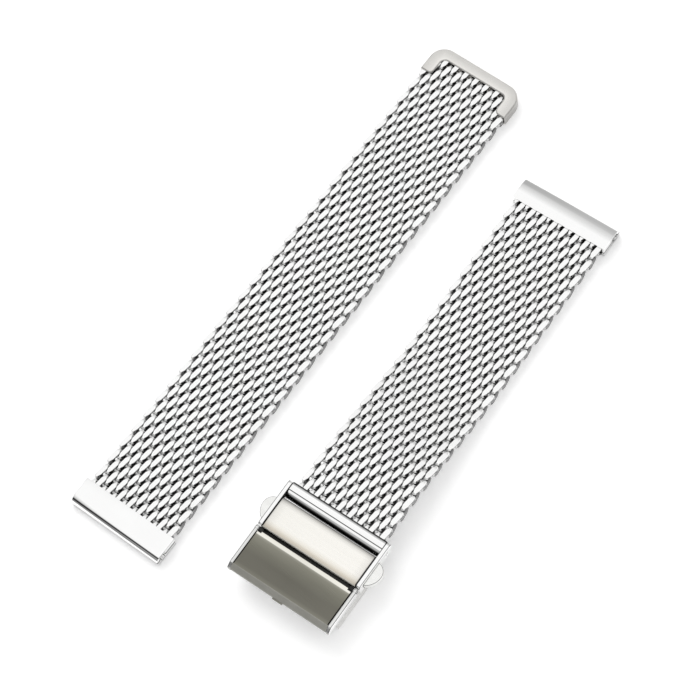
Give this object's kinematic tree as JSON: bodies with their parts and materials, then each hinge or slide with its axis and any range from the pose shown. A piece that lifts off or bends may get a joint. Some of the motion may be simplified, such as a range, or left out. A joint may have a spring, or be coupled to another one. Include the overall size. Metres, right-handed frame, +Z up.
{
  "type": "milanese mesh watch band",
  "caption": "Steel milanese mesh watch band in two halves, with folded end pieces, a tip cap and a push-button folding clasp with a flip-lock.",
  "frame": {"origin": "middle of the laid-out pair's outline, on the surface that both halves lie on", "axes": "+Y along the long half from its watch end to its tip, +X across towards the short half, +Z up"},
  "size_m": [0.0608, 0.1226, 0.0072],
  "materials": {
    "mesh_wire": "polished flattened wire",
    "polished_steel": "mirror polished",
    "satin_steel": "fine satin",
    "brushed_steel": "lengthwise brushed with polished edges",
    "leaf_steel": "plain stamped",
    "pin_steel": "turned"
  },
  "bodies": {
    "lug_ends": {"long_end_piece": "polished_steel", "long_mesh_1": "mesh_wire", "short_end_piece": "polished_steel", "short_mesh_1": "mesh_wire"},
    "long_mesh_2": {"long_mesh_2": "mesh_wire"},
    "long_mesh_3": {"long_mesh_3": "mesh_wire"},
    "long_mesh_4": {"long_mesh_4": "mesh_wire"},
    "long_mesh_5": {"long_mesh_5": "mesh_wire"},
    "long_mesh_6": {"long_mesh_6": "mesh_wire"},
    "long_mesh_7": {"long_mesh_7": "mesh_wire"},
    "long_mesh_8": {"long_mesh_8": "mesh_wire"},
    "long_mesh_9": {"long_mesh_9": "mesh_wire"},
    "long_tip": {"long_mesh_10": "mesh_wire", "tip_cap": "satin_steel"},
    "short_mesh_2": {"short_mesh_2": "mesh_wire"},
    "short_mesh_3": {"short_mesh_3": "mesh_wire"},
    "short_mesh_4": {"short_mesh_4": "mesh_wire"},
    "short_mesh_5": {"short_mesh_5": "mesh_wire"},
    "ferrule": {"short_mesh_6": "mesh_wire", "ferrule": "polished_steel"},
    "cover": {"clasp_cover": "brushed_steel", "cover_panel": "brushed_steel", "spring_bar_tube": "pin_steel", "flip_pin_right": "pin_steel", "flip_pin_left": "pin_steel", "cover_hinge_pin": "pin_steel"},
    "bar_tip_right": {"spring_bar_tip_right": "pin_steel"},
    "bar_tip_left": {"spring_bar_tip_left": "pin_steel"},
    "flip_lock": {"flip_lock": "brushed_steel"},
    "middle_leaf": {"middle_leaf": "leaf_steel", "leaf_hinge_pin": "pin_steel"},
    "base": {"base_leaf": "leaf_steel", "clamp_lever_pin": "pin_steel"},
    "clamp_lever": {"clamp_lever": "leaf_steel"},
    "button_right": {"button_right": "satin_steel"},
    "button_left": {"button_left": "satin_steel"}
  },
  "joints": [
    {"name": "long_bend_1", "type": "hinge", "parent": "lug_ends", "child": "long_mesh_2", "pos_m": [-0.01944, -0.04408, 0.0016], "axis": [1, 0, 0], "range_deg": [-30, 30]},
    {"name": "long_bend_2", "type": "hinge", "parent": "long_mesh_2", "child": "long_mesh_3", "pos_m": [-0.01944, -0.03256, 0.0016], "axis": [1, 0, 0], "range_deg": [-30, 30]},
    {"name": "long_bend_3", "type": "hinge", "parent": "long_mesh_3", "child": "long_mesh_4", "pos_m": [-0.01944, -0.02104, 0.0016], "axis": [1, 0, 0], "range_deg": [-30, 30]},
    {"name": "long_bend_4", "type": "hinge", "parent": "long_mesh_4", "child": "long_mesh_5", "pos_m": [-0.01944, -0.00952, 0.0016], "axis": [1, 0, 0], "range_deg": [-30, 30]},
    {"name": "long_bend_5", "type": "hinge", "parent": "long_mesh_5", "child": "long_mesh_6", "pos_m": [-0.01944, 0.002, 0.0016], "axis": [1, 0, 0], "range_deg": [-30, 30]},
    {"name": "long_bend_6", "type": "hinge", "parent": "long_mesh_6", "child": "long_mesh_7", "pos_m": [-0.01944, 0.01352, 0.0016], "axis": [1, 0, 0], "range_deg": [-30, 30]},
    {"name": "long_bend_7", "type": "hinge", "parent": "long_mesh_7", "child": "long_mesh_8", "pos_m": [-0.01944, 0.02504, 0.0016], "axis": [1, 0, 0], "range_deg": [-30, 30]},
    {"name": "long_bend_8", "type": "hinge", "parent": "long_mesh_8", "child": "long_mesh_9", "pos_m": [-0.01944, 0.03656, 0.0016], "axis": [1, 0, 0], "range_deg": [-30, 30]},
    {"name": "long_bend_9", "type": "hinge", "parent": "long_mesh_9", "child": "long_tip", "pos_m": [-0.01944, 0.04808, 0.0016], "axis": [1, 0, 0], "range_deg": [-30, 30]},
    {"name": "short_bend_1", "type": "hinge", "parent": "lug_ends", "child": "short_mesh_2", "pos_m": [0.01449, 0.02595, 0.0016], "axis": [-0.9996, -0.029, 0], "range_deg": [-30, 30]},
    {"name": "short_bend_2", "type": "hinge", "parent": "short_mesh_2", "child": "short_mesh_3", "pos_m": [0.01488, 0.01251, 0.0016], "axis": [-0.9996, -0.029, 0], "range_deg": [-31.47, 28.53]},
    {"name": "short_bend_3", "type": "hinge", "parent": "short_mesh_3", "child": "short_mesh_4", "pos_m": [0.01521, 0.001, 0.0019], "axis": [-0.9996, -0.029, 0], "range_deg": [-37.53, 22.47]},
    {"name": "short_bend_4", "type": "hinge", "parent": "short_mesh_4", "child": "short_mesh_5", "pos_m": [0.01554, -0.01037, 0.0037], "axis": [-0.9996, -0.029, 0], "range_deg": [-30, 30]},
    {"name": "short_bend_5", "type": "hinge", "parent": "short_mesh_5", "child": "ferrule", "pos_m": [0.01587, -0.02174, 0.0055], "axis": [-0.9996, -0.029, 0], "range_deg": [-21, 39]},
    {"name": "clasp_swing", "type": "hinge", "parent": "ferrule", "child": "cover", "pos_m": [0.01626, -0.03506, 0.0055], "axis": [-0.9996, -0.029, 0], "range_deg": [-45, 60]},
    {"name": "cover_fold", "type": "hinge", "parent": "cover", "child": "middle_leaf", "pos_m": [0.01678, -0.05295, 0.0047], "axis": [-0.9996, -0.029, 0], "range_deg": [0, 160]},
    {"name": "leaf_fold", "type": "hinge", "parent": "middle_leaf", "child": "base", "pos_m": [0.01636, -0.03846, 0.00427], "axis": [0.9996, 0.029, 0], "range_deg": [0, 160]},
    {"name": "flip_open", "type": "hinge", "parent": "cover", "child": "flip_lock", "pos_m": [0.01654, -0.0447, 0.00665], "axis": [-0.9996, -0.029, 0], "range_deg": [0, 95]},
    {"name": "lever_open", "type": "hinge", "parent": "base", "child": "clamp_lever", "pos_m": [0.01637, -0.03886, 0.0005], "axis": [0.9996, 0.029, 0], "range_deg": [0, 100]},
    {"name": "button_right_press", "type": "slide", "parent": "cover", "child": "button_right", "axis": [-0.9996, -0.029, 0], "range_m": [0, 0.0008], "stiffness_N_per_m": 600, "springref_m": -0.0004},
    {"name": "bar_tip_right_press", "type": "slide", "parent": "cover", "child": "bar_tip_right", "axis": [-0.9996, -0.029, 0], "range_m": [0, 0.001], "stiffness_N_per_m": 600, "springref_m": -0.0004},
    {"name": "button_left_press", "type": "slide", "parent": "cover", "child": "button_left", "axis": [0.9996, 0.029, 0], "range_m": [0, 0.0008], "stiffness_N_per_m": 600, "springref_m": -0.0004},
    {"name": "bar_tip_left_press", "type": "slide", "parent": "cover", "child": "bar_tip_left", "axis": [0.9996, 0.029, 0], "range_m": [0, 0.001], "stiffness_N_per_m": 600, "springref_m": -0.0004}
  ],
  "couplings": [
    {"joint": "leaf_fold", "follows": "cover_fold", "ratio": 1}
  ]
}
